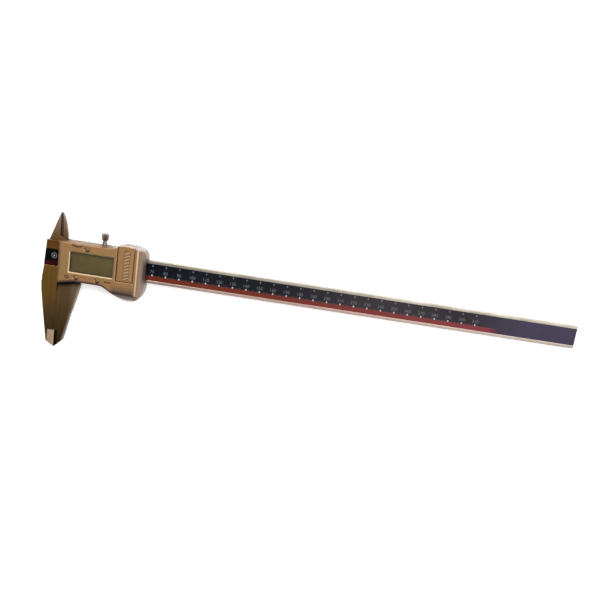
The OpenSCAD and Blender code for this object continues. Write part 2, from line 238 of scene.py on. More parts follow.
def jaw_finish(name, reflection_tones, rail=None):
    """Ground steel with streaks across the beam, in tones of painted reflection that change up the jaws. For
    a beam whose painted reflection turns pale along its length, rail is its dark, its light and its lower
    tone;
    without it the steel is the slider's."""
    shade = Shader(name)
    spread, x, y, side = shade.spread, shade.axis("X"), shade.axis("Y"), shade.toward("X")
    streak = shade.streaks("Y", 40, 1300, 5.0)
    cloud = shade.noise(70.0, 3.0)
    colour = shade.painted(
        # painted reflection: the tones up the jaws
        shade.ramp(y, reflection_tones),
        # painted highlight on right walls and painted shade on left walls
        ((0.17, 0.14, 0.115), spread(side, 0.1, 0.7, 0.0, 0.85), spread(x, 0.8, 1.5)),
        ((0.04, 0.04, 0.032), spread(side, -0.2, -0.6, 0.0, 0.8)))
    if rail is None:
        colour = shade.painted(
            colour,
            # painted highlight on the jaw's outer side, painted shadow on the part under the cover, and
            # painted shade on the knife edge
            ((0.3, 0.24, 0.175), spread(x, 9, 15, 0.0, 0.5), spread(y, -48, -30)),
            ((0.012, 0.007, 0.009), spread(above_lower_edge(shade, y), -5.4, -2.8), spread(y, 0, -2)),
            ((0.01, 0.006, 0.003), spread(side, -0.08, -0.2), spread(y, -54, -56), spread(x, 3.4, 1.4)))
    else:
        dark, light, low = rail
        on_rail = spread(x, 2, 50)
        streak = shade.mix(on_rail, streak, shade.streaks("X", 60, 5200, 3.0))
        pale = shade.painted(
            shade.mix(spread(cloud, 0.38, 0.62), dark, light),
            # the lower rail, and both next to the cover
            (low, spread(y, 2, -6), spread(x, 220, 340, 1.0, 0.25)),
            ((0.2, 0.19, 0.14), spread(x, 115, 75, 0.0, 0.5)))
        colour = shade.mix(on_rail, colour, pale)
    worn = spread(shade.blend(streak, cloud, 0.6), 0.36, 0.62, 0.0, 0.5)
    return shade.finish(Base_Color=shade.mix(worn, colour, (0.35, 0.33, 0.3), "MULTIPLY"),
                        Roughness=spread(cloud, 0.3, 0.7, 0.3, 0.4),
                        Normal=shade.bump(streak, 0.00001), Metallic=1.0)


def satin(shade, colour, roughness=0.42):
    """Fine cast grain, soft mottling and sparkle over a colour."""
    grain = shade.noise(5200.0, 2.0)
    mottle = shade.noise(160.0)
    colour = shade.painted(colour, ((0.12, 0.07, 0.035), shade.spread(mottle, 0.3, 0.7, 0.0, 0.22)),
                           ((0.6, 0.42, 0.26), shade.spread(grain, 0.52, 0.75, 0.0, 0.2)))
    return shade.finish(Base_Color=colour, Metallic=0.85,
                        Roughness=shade.spread(mottle, 0.25, 0.75, roughness - 0.05, roughness + 0.08),
                        Normal=shade.bump(grain, 0.000012, shade.bump(mottle, 0.00004)))


def button_finish(button):
    """Plated like the cover, with painted shade over its side towards the thumb."""
    shade = Shader(button + "_metal")
    up = shade.math("SUBTRACT", shade.axis("Y"), middle_of(button)[1])
    # painted shade towards the thumb, paler above
    return satin(shade, shade.ramp(up, ((-0.9, (0.03, 0.016, 0.009)), (0.3, (0.3, 0.19, 0.1)))), 0.3)


def cover_finish(name, gold):
    """Satin champagne plating, with painted highlights on the rims of the window and the bay, on the ribs and
    on the end ridge, painted shade on the walls, deep in the bay, along the lower edge, under the thumb and
    at the end's foot, and painted grey reflection on the end slope and down the outer walls.
    """
    shade = Shader(name)
    spread, within = shade.spread, shade.within
    x, y, z = (shade.axis(a) for a in "XYZ")
    toward_x, toward_y, toward_z = (shade.toward(a) for a in "XYZ")
    low, high = WINDOW
    near_window = shade.both(within(x, low[0] - 2.0, high[0] + 1.4), within(y, low[1] - 1.4, high[1] + 1.4))
    near_bay = shade.both(within(x, DOOR_LOW[0] - 0.6, DOOR_HIGH[0] + 0.2),
                          spread(y, DOOR_LOW[1] - 1.0, DOOR_LOW[1] - 0.8))
    rim = shade.math("MAXIMUM", shade.both(near_window, spread(z, TOP - 0.02, TOP - 0.18)),
                     shade.both(near_bay, within(z, TOP - 0.17, TOP - 0.03, 0.02)))
    outer = shade.math("MAXIMUM", spread(y, COVER_LOW[1] + 2.8, COVER_LOW[1] + 1.2), spread(y, 14.8, 15.6))
    return satin(shade, shade.painted(
        gold,
        ((0.12, 0.075, 0.045), spread(x, DOOR_HIGH[0], END_RIDGE, 0.0, 0.3)),
        # painted highlights on the rims of the window and the bay, painted shade deep in the bay, and painted
        # highlights on the ribs above the top
        ((0.6, 0.48, 0.3), rim),
        ((0.04, 0.024, 0.013), near_bay, spread(z, TOP - 0.25, TOP - 0.55, 0.0, 0.95)),
        ((0.6, 0.44, 0.28), near_bay, spread(z, TOP + 0.02, TOP + 0.12, 0.0, 0.7)),
        # painted shade on the lower wall, the lower rim, the left wall and the upper wall
        ((0.07, 0.045, 0.045), spread(toward_y, -0.25, -0.6), spread(y, -9.5, -11.0)),
        ((0.06, 0.034, 0.038), spread(above_lower_edge(shade, y), 2.2, 1.0), spread(x, 50, 42)),
        ((0.15, 0.09, 0.032), spread(toward_x, -0.2, -0.5, 0.0, 0.75), spread(x, 5.4, 4.8)),
        ((0.13, 0.075, 0.035), spread(toward_y, 0.2, 0.6, 0.0, 0.8), spread(x, 46, 41),
         spread(y, 13.4, 13.8)),
        # painted shade on the thumb bulge, then a painted highlight on the ridge, painted reflection on the
        # slope and a painted shadow at the foot of the end that the beam comes out of
        ((0.07, 0.048, 0.05), spread(y, -11.5, -17.5), within(x, 43, END_RIDGE - 0.8, 1.5)),
        ((0.6, 0.45, 0.31), within(x, END_RIDGE - 0.5, END_RIDGE + 0.4, 0.3),
         spread(z, TOP - 1.0, TOP - 0.5)),
        ((0.26, 0.2, 0.17), spread(x, END_RIDGE + 0.5, END_RIDGE + 2.4), spread(z, TOP - 0.2, TOP - 1.4)),
        ((0.04, 0.034, 0.034), spread(x, END_RIDGE + 2.4, END_RIDGE + 4.2), within(y, -8.0, 8.0, 3.0)),
        # painted grey reflection down the outer walls
        ((0.36, 0.33, 0.325), outer, spread(toward_z, 0.97, 0.6))))


def film_finish(name):
    """Printed film under a clear gloss: blue-black, with a red stripe that fades before the free end."""
    shade = Shader(name)
    x = shade.axis("X")
    black = shade.ramp(x, ((0, (0.001, 0.0005, 0.0008)), (60, (0.0005, 0.002, 0.005)),
                           (110, (0.006, 0.007, 0.01)), (160, (0.008, 0.008, 0.011)),
                           (220, (0.024, 0.021, 0.025)), (260, (0.028, 0.024, 0.028)),
                           (300, (0.02, 0.017, 0.02)), (345, (0.04, 0.033, 0.058))))
    red = shade.ramp(x, ((-2, (0.022, 0.0012, 0.0024)), (30, (0.09, 0.013, 0.006)),
                         (150, (0.1, 0.02, 0.012)), (300, (0.145, 0.03, 0.036))))
    wobble = shade.math("MULTIPLY", shade.math("SUBTRACT", shade.noise(900.0, 2.0), 0.5), 0.06)
    in_stripe = shade.math("LESS_THAN", shade.math("ADD", shade.axis("Y"), wobble), STRIPE_TOP)
    before_end = shade.spread(x, STRIPE_END, STRIPE_END + 8.0, 1.0, 0.0)
    haze = shade.spread(shade.noise(240.0, 5.0), 0.35, 0.8, 0.0, 0.006)
    scuff = shade.streaks("X", 30, 1500, 4.0)
    colour = shade.painted(black, (red, in_stripe, before_end), ((0.45, 0.45, 0.48), haze))
    return shade.finish(Base_Color=colour, Roughness=shade.spread(scuff, 0.3, 0.75, 0.26, 0.5),
                        Normal=shade.bump(scuff, 0.000004), Specular_IOR_Level=0.03)


def ink_finish(name, colour):
    """Print that is worn to a darker tone in patches."""
    shade = Shader(name)
    patch = shade.noise(2600.0, 3.0)
    worn = shade.mix(shade.spread(patch, 0.4, 0.7), colour, scaled(colour, 0.62))
    return shade.finish(Base_Color=worn, Roughness=shade.spread(patch, 0.3, 0.7, 0.35, 0.6))


def plain_finish(name, colour, roughness):
    """Moulded or turned surface: fine grain in colour, gloss and relief."""
    shade = Shader(name)
    grain, contrast = 2200.0, 0.18
    fine = shade.noise(grain, 3.0)
    wide = shade.noise(grain / 14.0, 3.0)
    tone = shade.spread(shade.blend(fine, wide, 0.4), 0.35, 0.65)
    return shade.finish(
        Base_Color=shade.mix(tone, scaled(colour, 1.0 - contrast), scaled(colour, 1.0 + contrast)),
        Roughness=shade.spread(wide, 0.3, 0.7, max(0.05, roughness - 0.06), roughness + 0.08),
        Normal=shade.bump(fine, 0.00001), Metallic=0.0)


def turned_metal(name, colour, roughness, axis="Z"):
    """Lathe-turned screw steel: rings across the axis and a faint tarnish."""
    shade = Shader(name)
    rings = shade.node("TexWave", {"Vector": shade.place, "Scale": 2600.0, "Distortion": 1.5},
                       wave_type="BANDS", bands_direction=axis)
    tarnish = shade.noise(700.0)
    return shade.finish(
        Base_Color=shade.mix(shade.spread(tarnish, 0.35, 0.7), colour, scaled(colour, 0.62)),
        Roughness=shade.spread(tarnish, 0.3, 0.7, roughness - 0.05, roughness + 0.12),
        Normal=shade.bump(rings.outputs["Fac"], 0.00001), Metallic=1.0)


def circuit_finish(name):
    """Green solder mask over a lattice of traces."""
    shade = Shader(name)
    cells = shade.node("TexBrick", {
        "Vector": shade.place, "Scale": 420.0, "Mortar Size": 0.03, "Color1": (0.012, 0.09, 0.03),
        "Color2": (0.02, 0.13, 0.045), "Mortar": (0.16, 0.28, 0.08)}).outputs
    cloud = shade.noise(300.0)
    return shade.finish(
        Base_Color=shade.mix(shade.spread(cloud, 0.4, 0.8, 0, 0.35), cells["Color"], (0.02, 0.05, 0.02)),
        Roughness=shade.spread(cloud, 0.3, 0.7, 0.28, 0.45), Normal=shade.bump(cells["Fac"], 0.00003))


def display_finish(name):
    """Olive reflective display, with painted shade along its rim, deep in the window's recess."""
    shade = Shader(name)
    middle, half = (PANEL_LOW + PANEL_HIGH) / 2, (PANEL_HIGH - PANEL_LOW) / 2
    inside = [shade.math("SUBTRACT", half[i], shade.math("ABSOLUTE", shade.math(
        "SUBTRACT", shade.axis(axis), middle[i]))) for i, axis in enumerate("XY")]
    away_from_rim = shade.spread(shade.math("MINIMUM", *inside), 0.6, 2.6)
    haze = shade.noise(120.0, 3.0)
    field = shade.mix(shade.spread(haze, 0.35, 0.65), (0.056, 0.039, 0.009), (0.067, 0.048, 0.013))
    # painted shade along the rim
    return shade.finish(Base_Color=shade.mix(away_from_rim, (0.035, 0.026, 0.012), field),
                        Roughness=shade.spread(haze, 0.3, 0.7, 0.5, 0.6), Specular_IOR_Level=0.15,
                        Normal=shade.bump(shade.noise(9000.0), 0.000002))


def clear_finish(name):
    """Clear window: thin, slightly smeared, seen mostly by its reflections."""
    shade = Shader(name)
    smear = shade.streaks("Y", 260, 90, 4.0)
    return shade.finish(
        Base_Color=shade.mix(shade.spread(smear, 0.4, 0.7), (0.10, 0.09, 0.06), (0.16, 0.15, 0.11)),
        Roughness=shade.spread(smear, 0.35, 0.75, 0.06, 0.2), Alpha=0.06, IOR=1.45, Specular_IOR_Level=0.3)


# -------- mesh helpers

def placed(name, data):
    """A new object in the scene."""
    made = bpy.data.objects.new(name, data)
    bpy.context.scene.collection.objects.link(made)
    return made


def add_piece(name, mesh, body, materials, smooth_angle=30.0):
    """Puts a mesh, built in millimetres, into the scene as a piece that rides on a CAD body. It is shaded
    smoothly, except across edges steeper than the angle."""
    mesh.transform(Matrix.Scale(MM, 4))
    piece = placed(name, mesh)
    for material in materials:
        mesh.materials.append(material)
    mesh.set_sharp_from_angle(angle=math.radians(smooth_angle))
    mesh.polygons.foreach_set("use_smooth", [True] * len(mesh.polygons))
    mesh.update()
    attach(piece, body)
    return piece


def add_solid(name, solid, body, material, smooth_angle=30.0):
    """A piece from the vertices and faces of a solid."""
    return add_piece(name, mesh_from(name, *solid), body, [material], smooth_angle)


def even_shading(piece):
    """Lets large flat faces rule the normals round their edges."""
    weighted = piece.modifiers.new("even_shading", "WEIGHTED_NORMAL")
    weighted.keep_sharp = True
    weighted.weight = 80


def mesh_from(name, vertices, faces):
    mesh = bpy.data.meshes.new(name)
    mesh.from_pydata([tuple(v) for v in vertices], [], [tuple(int(i) for i in f) for f in faces])
    mesh.validate()
    mesh.update()
    return mesh


def finished(shape, name):
    """The mesh of a shape under construction, which is freed."""
    mesh = bpy.data.meshes.new(name)
    shape.to_mesh(mesh)
    shape.free()
    return mesh


def node_shape(node):
    """A CAD node's solid in millimetres, with its flat faces whole."""
    shape = bmesh.new()
    shape.from_mesh(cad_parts[node].data)
    bmesh.ops.scale(shape, vec=(1 / MM, 1 / MM, 1 / MM), verts=shape.verts)
    bmesh.ops.remove_doubles(shape, verts=shape.verts, dist=0.002)
    bmesh.ops.dissolve_limit(shape, angle_limit=math.radians(0.5), verts=shape.verts, edges=shape.edges)
    return shape


def rounded(shape, edges, width, segments):
    """Rounds edges of a shape by width millimetres."""
    bmesh.ops.bevel(shape, geom=edges, offset=width, offset_type="OFFSET", segments=segments, profile=0.5,
                    affect="EDGES", clamp_overlap=False)


def carved(mesh, cutters):
    """The mesh with every cutter taken away from it."""
    body = placed("carving", mesh)
    helpers = []
    for cutter in cutters:
        helpers.append(placed("cutter", mesh_from("cutter", *cutter)))
        cut = body.modifiers.new("cut", "BOOLEAN")
        cut.operation, cut.solver, cut.object = "DIFFERENCE", "EXACT", helpers[-1]
    bpy.context.view_layer.update()
    result = bpy.data.meshes.new_from_object(body.evaluated_get(bpy.context.evaluated_depsgraph_get()))
    for unused in [body, *helpers]:
        bpy.data.objects.remove(unused)
    tidy = bmesh.new()
    tidy.from_mesh(result)
    bmesh.ops.remove_doubles(tidy, verts=tidy.verts, dist=0.001)
    tidy.to_mesh(result)
    tidy.free()
    return result


SHARP = math.radians(28)
SHORTEST_ROUNDED = 1.0


def softened(node, body, materials, width, name=None, pick=None, cutters=(), broad=()):
    """Stands for a CAD node: the same solid with its long sharp edges rounded by width millimetres. cutters
    are taken away first. broad holds pairs of a test for the ends of an edge and that edge's own width. pick
    gives the number of a face's material from its centre and direction."""
    shape = node_shape(node)
    if cutters:
        carving = carved(finished(shape, "whole"), cutters)
        shape = bmesh.new()
        shape.from_mesh(carving)
    for test, own_width in broad:
        rounded(shape, [e for e in shape.edges if test(*(v.co for v in e.verts))], own_width, 4)
    sharp = [e for e in shape.edges if len(e.link_faces) == 2 and e.calc_length() > SHORTEST_ROUNDED
             and e.calc_face_angle(0) > SHARP]
    rounded(shape, sharp, width, 2)
    name = name or node + "_detail"
    mesh = finished(shape, name)
    if pick is not None:
        for face in mesh.polygons:
            face.material_index = pick(face.center, face.normal)
    piece = add_piece(name, mesh, body, materials)
    even_shading(piece)
    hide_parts(node)


def keep_node(node, material):
    """A CAD node that is shown as it is, with a better material."""
    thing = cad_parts[node]
    thing.data.materials.clear()
    thing.data.materials.append(material)


# -------- outlines, in millimetres

def outline_of(node):
    """The outer edge of a flat node, read from its downward faces."""
    shape = node_shape(node)
    bottom = min(v.co.z for v in shape.verts)
    faces = {f for f in shape.faces if all(abs(v.co.z - bottom) < 0.001 for v in f.verts)}
    rim = {}
    for face in faces:
        for edge in face.edges:
            if sum(f in faces for f in edge.link_faces) == 1:
                a, b = edge.verts
                rim.setdefault(a, []).append(b)
                rim.setdefault(b, []).append(a)
    start = min(rim, key=lambda v: v.co.x)
    loop = [start, rim[start][0]]
    while loop[-1] is not start:
        loop.append(next(v for v in rim[loop[-1]] if v is not loop[-2]))
    points = np.array([(v.co.x, v.co.y) for v in loop[:-1]])
    shape.free()
    area = np.sum(points[:, 0] * np.roll(points[:, 1], -1) - points[:, 1] * np.roll(points[:, 0], -1))
    return points if area > 0 else points[::-1]


def turns(points):
    """The angle that a closed outline turns through at each point, in degrees."""
    before = points - np.roll(points, 1, axis=0)
    after = np.roll(points, -1, axis=0) - points
    cross = before[:, 0] * after[:, 1] - before[:, 1] * after[:, 0]
    dot = (before * after).sum(1)
    return np.degrees(np.arctan2(cross, dot))


def straightened(points, least=0.6):
    """The outline without the points where it hardly turns."""
    return points[np.abs(turns(points)) > least]


def smoothed(points, cuts=3, corner=35.0, longest=4.0):
    """A finer outline that curves through the same points, but keeps corners and long straight runs."""
    sharp = np.abs(turns(points)) > corner
    count = len(points)
    fine = []
    for i in range(count):
        j = (i + 1) % count
        a, b = points[i], points[j]
        fine.append(a)
        reach = np.hypot(*(b - a))
        if reach > longest:
            continue
        back, on = a - points[i - 1], points[(j + 1) % count] - b
        before = 2 * a - b if sharp[i] else a - back * reach / np.hypot(*back)
        after = 2 * b - a if sharp[j] else b + on * reach / np.hypot(*on)
        for k in range(1, cuts):
            t = k / cuts
            fine.append(0.5 * (2 * a + (b - before) * t + (2 * before - 5 * a + 4 * b - after) * t * t
                               + (3 * a - before - 3 * b + after) * t ** 3))
    return np.array(fine)


def shrunk(points, inset):
    """The outline moved inwards."""
    before = points - np.roll(points, 1, axis=0)
    after = np.roll(points, -1, axis=0) - points
    before /= np.hypot(*before.T)[:, None]
    after /= np.hypot(*after.T)[:, None]
    normal = np.stack([-(before + after)[:, 1], (before + after)[:, 0]], 1)
    length = np.hypot(*normal.T)
    return points + inset * normal / (length * length / 2)[:, None]


def rectangle(low, high, corner=0.0, steps=4):
    """Rectangle with round corners, of some steps each, or with sharp ones."""
    (left, lower), (right, upper) = low[:2], high[:2]
    if corner <= 0:
        return np.array([(left, lower), (right, lower), (right, upper), (left, upper)], float)
    left, lower, right, upper = left + corner, lower + corner, right - corner, upper - corner
    points = []
    for quarter, centre in enumerate(((right, upper), (left, upper), (left, lower), (right, lower))):
        angles = [math.radians(90 * quarter + 90 * i / steps) for i in range(steps + 1)]
        points.extend(around(centre, (corner, corner), angles))
    return np.array(points)


def bar(x, y, half_x, half_y):
    """Rectangle centred at x and y."""
    return rectangle((x - half_x, y - half_y), (x + half_x, y + half_y))


def around(centre, radii, angles):
    """Points on an ellipse at angles in radians."""
    return np.array([(centre[0] + radii[0] * math.cos(a), centre[1] + radii[1] * math.sin(a))
                     for a in angles])


def ellipse(centre, radii, sides=32):
    return around(centre, radii, [2 * math.pi * i / sides for i in range(sides)])


def ribbon(path, width):
    """Stroke of some width along a path."""
    path = np.array(path, float)
    tangent = np.gradient(path, axis=0)
    tangent /= np.hypot(*tangent.T)[:, None]
    side = np.stack([-tangent[:, 1], tangent[:, 0]], 1) * width / 2
    return np.concatenate([path - side, (path + side)[::-1]])


# -------- solids: vertices and faces, in millimetres

def loft(levels):
    """Solid through rings of the same count of points, [outline, height] from bottom to top."""
    count = len(levels[0][0])
    vertices = [(x, y, z) for outline, z in levels for x, y in outline]
    faces = [tuple(reversed(range(count)))]
    for level in range(len(levels) - 1):
        a, b = level * count, (level + 1) * count
        faces += [(a + i, a + (i + 1) % count, b + (i + 1) % count, b + i) for i in range(count)]
    faces.append(tuple(range(len(vertices) - count, len(vertices))))
    return vertices, faces


def box_solid(low, high):
    outline = rectangle(low, high)
    return loft([[outline, low[2]], [outline, high[2]]])


def pin(x, y, rings, sides=32):
    """Solid turned about a vertical line, from [radius, height] rings from bottom to top."""
    return loft([[ellipse((x, y), (r, r), sides), z] for r, z in rings])


def along_y(x, z, solid):
    """A solid built on the vertical line through 0, 0, laid along Y through x and z."""
    vertices, faces = solid
    return [(x + vx, vz, z - vy) for vx, vy, vz in vertices], faces


def sunk(outline, depth, top, chamfer=0.0):
    """Cutter that sinks an outline into a face at height top, with its rim chamfered."""
    if chamfer > 0:
        over = 0.4
        return loft([[outline, top - depth], [outline, top - chamfer],
                     [shrunk(outline, -chamfer - over), top + over]])
    return loft([[outline, top - depth], [outline, top + 0.5]])


def raised(outline, base, top, chamfer):
    """A low pad that stands on a face at height base."""
    return loft([[outline, base - 0.05], [outline, top - chamfer], [shrunk(outline, chamfer), top]])


def joined(solids):
    """One solid from several."""
    vertices, faces = [], []
    for more, polygons in solids:
        start = len(vertices)
        vertices += [tuple(v) for v in more]
        faces += [tuple(i + start for i in face) for face in polygons]
    return vertices, faces


def flat_prints(name, outlines, low, body, material, up=INK_UP):
    """Thin printed shapes that lie on a face at height low."""
    solid = joined([loft([[o, low - 0.01], [o, low + up]]) for o in outlines])
    add_solid(name, solid, body, material, 20.0)


# -------- cover

def ridge_cuts(near, far, radius):
    """Points and normals, in a plane of [across, height], of the cuts that round the ridge where a flat
    top at near meets a slope down to far."""
    slope = math.atan2(near[1] - far[1], abs(far[0] - near[0]))
    outward = math.copysign(1.0, far[0] - near[0])
    centre = (near[0] - outward * radius * math.tan(slope / 2), near[1] - radius)
    cuts = []
    for i in range(1, RIDGE_CUTS + 1):
        angle = slope * i / RIDGE_CUTS
        normal = (outward * math.sin(angle), math.cos(angle))
        cuts.append(((centre[0] + radius * normal[0], centre[1] + radius * normal[1]), normal))
    return cuts


def cover_solid(outline, low, top, drop):
    """Prism whose top falls away at both ends and on the thumb side; drop lowers the slopes."""
    vertices, faces = loft([[outline, low], [outline, top]])
    shape = bmesh.new()
    corners = [shape.verts.new(v) for v in vertices]
    for face in faces:
        shape.faces.new([corners[i] for i in face])
    for axis, near, far, radius in SLOPES:
        for point, normal in ridge_cuts(near, far, radius):
            place, facing = [0.0, 0.0, point[1] - drop], [0.0, 0.0, normal[1]]
            place[axis], facing[axis] = point[0], normal[0]
            bmesh.ops.bisect_plane(shape, geom=[*shape.verts, *shape.edges, *shape.faces], dist=1e-5,
                                   plane_co=place, plane_no=facing, clear_outer=True)
            bmesh.ops.holes_fill(shape, edges=[e for e in shape.edges if e.is_boundary], sides=0)
    bmesh.ops.remove_doubles(shape, verts=shape.verts, dist=0.001)
    bmesh.ops.recalc_face_normals(shape, faces=shape.faces)
    return shape


def upright_edge(edge):
    """Says whether an edge is a corner between two of the cover's walls."""
    return (len(edge.link_faces) == 2 and edge.calc_face_angle(0) > math.radians(40)
            and abs(edge.verts[0].co.z - edge.verts[1].co.z) > 5)


def upper_edge(edge):
    """Says whether one of the cover's walls meets what faces up at an edge."""
    if len(edge.link_faces) != 2 or max(v.co.z for v in edge.verts) <= 3:
        return False
    steep, flat = sorted(abs(f.normal.z) for f in edge.link_faces)
    return steep < 0.02 and flat > 0.5


def bay_cutters():
    """Cutters for the door's bay: the opening, the grooves for its tongues and the notch for its lip."""
    half = (DOOR_HIGH[0] - DOOR_LOW[0]) / 2 - DOOR_TONGUE
    left, right, beyond = DOOR_X - half, DOOR_X + half, 30
    opening = rectangle((left - 0.7, DOOR_LOW[1] - 0.5), (right + 0.4, beyond))
    return [sunk(opening, TOP - SKIN_Z + 1, TOP, chamfer=0.3),
            box_solid((left - 0.7, DOOR_LOW[1] - 0.15, DOOR_HIGH[2] - 1.4),
                      (right + 0.7, beyond, DOOR_HIGH[2] - 0.6)),
            box_solid((left - 0.1, DOOR_HIGH[1] - 2.2, DOOR_LOW[2] - 0.1), (right + 0.1, beyond, TOP + 1))]


def cover_cutters():
    """Everything that is taken out of the cover: its hollow, room for the beam, the slider's bridge, its
    jaw and its blade, and the openings."""
    inner = cover_solid(shrunk(straightened(outline_of("back_plate")), WALL), COVER_LOW[2] - 1, SKIN_Z, WALL)
    inner.verts.index_update()
    hollow = ([tuple(v.co) for v in inner.verts], [tuple(v.index for v in f.verts) for f in inner.faces])
    inner.free()
    room = [box_solid((-1, -8.8, 0), (COVER_HIGH[0] + 1, 8.8, 5.7)),
            box_solid((-1, -12.65, -0.3), (7.15, 13.15, 6.9)),
            box_solid((-1, -20, -0.2), (18.2, -12.4, 5.7)), box_solid((-1, 13, -0.1), (8, 20, 5.7))]
    window = sunk(rectangle(*WINDOW, corner=0.5), TOP - SKIN_Z + 1, TOP, chamfer=0.85)
    buttons = []
    for button in BUTTONS:
        hole, dish = (ellipse(middle_of(button), radii, 48) for radii in (BUTTON_HOLE, BUTTON_DISH))
        buttons.append(loft([[hole, SKIN_Z - 1], [hole, TOP - 0.35], [dish, TOP + 0.02], [dish, TOP + 0.5]]))
    lock = pin(0, 0, [[1.9, 10], [1.9, COVER_HIGH[1] - 3.5], [2.4, COVER_HIGH[1] - 3.2], [2.4, 20]])
    gib_access = pin(0, 0, [[1.2, 10], [1.2, 22]])
    return [hollow, *room, window, *buttons, *bay_cutters(), along_y(LOCK_X, LOCK_Z, lock),
            *[along_y(x, LOCK_Z, gib_access) for x in GIB_SCREW_X],
            *[pin(x, y, [[1.02, -1], [1.02, 10.2]], 24) for x, y in COVER_SCREWS]]


def mark_outlines():
    """Plain signs beside the buttons: a wave, a ring in two halves and a group of bars."""
    wave = [(12.2 + 8.0 * t, 12.7 + 0.4 * math.sin(2 * math.pi * (1.25 * t + 0.1)))
            for t in np.linspace(0, 1, 25)]
    x, y, _ = middle_of("power_button")
    halves = [ribbon(around((x - 6.6, y), (1.5, 0.8), np.linspace(start, start + 2.8, 16)), 0.9)
              for start in (0.3, 0.3 + math.pi)]
    x, y, _ = middle_of("zero_button")
    bars = [rectangle((x + 5.0 + 1.35 * i, y - 0.75), (x + 5.95 + 1.35 * i, y + 0.75), 0.15, 2)
            for i in range(4)]
    return [ribbon(wave, 1.3), *halves, *bars]


def make_cover(material, paint):
    outline = smoothed(straightened(outline_of("back_plate")))
    shape = cover_solid(outline, COVER_LOW[2], TOP, 0.0)
    rounded(shape, [e for e in shape.edges if upright_edge(e)], UPRIGHT_ROUND, 4)
    rounded(shape, [e for e in shape.edges if upper_edge(e)], RIM_ROUND, 3)
    for corner in shape.verts:
        corner.co.z = min(corner.co.z, TOP)
    marks = mark_outlines()
    mesh = carved(finished(shape, "cover_body"), cover_cutters() + [sunk(m, MARK_DEPTH, TOP) for m in marks])
    mesh.name = "front_cover_shell"
    piece = add_piece("front_cover_shell", mesh, "slider", [material], 32.0)
    even_shading(piece)
    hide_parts("front_cover")
    flat_prints("cover_marks", [shrunk(mark, 0.02) for mark in marks], TOP - MARK_DEPTH, "slider",
                paint, 0.1)


# -------- jaws

def beam_face(centre, normal):
    """Material of a face of the beam: a lighter copy with a painted highlight on the knife edge, painted
    shade in the blade's hollow, or plain.
    """
    if centre.y < -50 and 0.1 < normal.x < 0.5 and normal.z > 0.8:
        return 1
    if 15 < centre.y < 31.5 and normal.x < -0.3 and normal.z > 0.3 and centre.x < 2:
        return 2
    return 0


def slider_face(centre, normal):
    """Material of a face of the slider: painted shade on the hollow side of the inside blade, or plain."""
    return int(centre.y > 15.5 and normal.x > 0.3 and centre.x < 0.5)


def blade_hollow():
    """Cutter for the hollow ground beside the fixed inside blade's edge, widest at its root."""
    face = (BEAM_LOW[2] + BEAM_HIGH[2]) / 2 - 0.05
    low, high = 15.4, 31.0
    under = [(-0.6, low, face - 1.3), (2.4, low, face + 0.15), (0.9, high, face + 0.15),
             (-0.6, high, face - 0.9)]
    over = [(x, y, face + 1.0) for x, y, _ in under]
    sides = [(i, (i + 1) % 4, 4 + (i + 1) % 4, 4 + i) for i in range(4)]
    return under + over, [(2, 1, 0), (3, 2, 0), (4, 5, 6, 7)] + sides


def on_top_along_jaw(a, b):
    """Says whether an edge from a to b lies on the jaws' upper face and runs along a jaw's slanting side."""
    return min(a.z, b.z) > BEAM_HIGH[2] - 0.1 and abs(a.y - b.y) > 1.5 * abs(a.x - b.x) > 0.015


def jaw_right_edge(a, b):
    return on_top_along_jaw(a, b) and max(a.y, b.y) < -12 and min(a.x, b.x) > 3


def jaw_left_edge(a, b):
    return on_top_along_jaw(a, b) and max(a.x, b.x) < -5.5


def make_blade_lip(material):
    """Thin lip along the foot of the fixed inside blade, under the moving blade: a dark piece that stands for
    the shade in the gap between the blades.
    """
    lip = box_solid((-0.8, 13.5, BEAM_LOW[2]), (0.05, 33.8, BEAM_LOW[2] + 0.7))
    add_solid("blade_shade_lip", lip, "beam", material)


# -------- battery door and cell

def make_door(material):
    """The door's plate with a pocket, slanted ribs in the pocket and a fine hatch beside it."""
    pocket = rectangle((DOOR_X - 1.5, DOOR_LOW[1] + 1.0), (DOOR_X + 3.1, DOOR_HIGH[1] - 3.2), 0.5)
    softened("battery_door", "battery_door", [material], 0.3, name="battery_door_plate",
             cutters=[sunk(pocket, POCKET_DEPTH, DOOR_HIGH[2])])
    ribs, hatch = [], []
    for i in range(RIBS):
        y = DOOR_LOW[1] + 2.3 + RIB_STEP * i
        path = [(DOOR_X - 0.9, y - 0.8), (DOOR_X + 0.8, y + 0.1), (DOOR_X + 2.6, y + 0.8)]
        ribs.append(raised(ribbon(path, 1.0), DOOR_HIGH[2] - POCKET_DEPTH, TOP + 0.16, 0.22))
    for i in range(HATCHES):
        y = DOOR_LOW[1] + 2.0 + HATCH_STEP * i
        line = rectangle((DOOR_X + 3.5, y), (DOOR_X + 4.9, y + HATCH_STEP / 2))
        hatch.append(raised(line, DOOR_HIGH[2], TOP, 0.06))
    add_solid("battery_door_ribs", joined(ribs), "battery_door", material, 25.0)
    add_solid("battery_door_hatch", joined(hatch), "battery_door", material, 25.0)


def make_cell(material):
    """Button cell: a can with a crimped edge, and a raised contact face with a plus sign."""
    low, high = box_mm("battery_cell")
    x, y, _ = middle_of("battery_cell")
    r, bottom, top = (high[0] - low[0]) / 2, low[2], high[2]
    rings = [[r - 1.4, bottom], [r - 1.05, bottom + 0.12], [r - 0.95, bottom + 0.45],
             [r - 0.25, bottom + 0.52], [r, bottom + 0.85], [r, top - 0.35], [r - 0.1, top - 0.12],
             [r - 0.35, top - 0.02], [r - 0.6, top], [r - 1.3, top], [r - 1.42, top - 0.06], [r - 1.55, top],
             [0.4, top]]
    piece = add_solid("battery_cell_can", pin(x, y, rings, 96), "slider", material)
    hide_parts("battery_cell")
    plus = [bar(x, y, 1.6, 0.22), bar(x, y, 0.22, 1.6)]
    solid = joined([loft([[o, top - 0.02], [o, top + 0.04]]) for o in plus])
    add_solid("battery_cell_plus", solid, "slider", material)


# -------- controls and screws

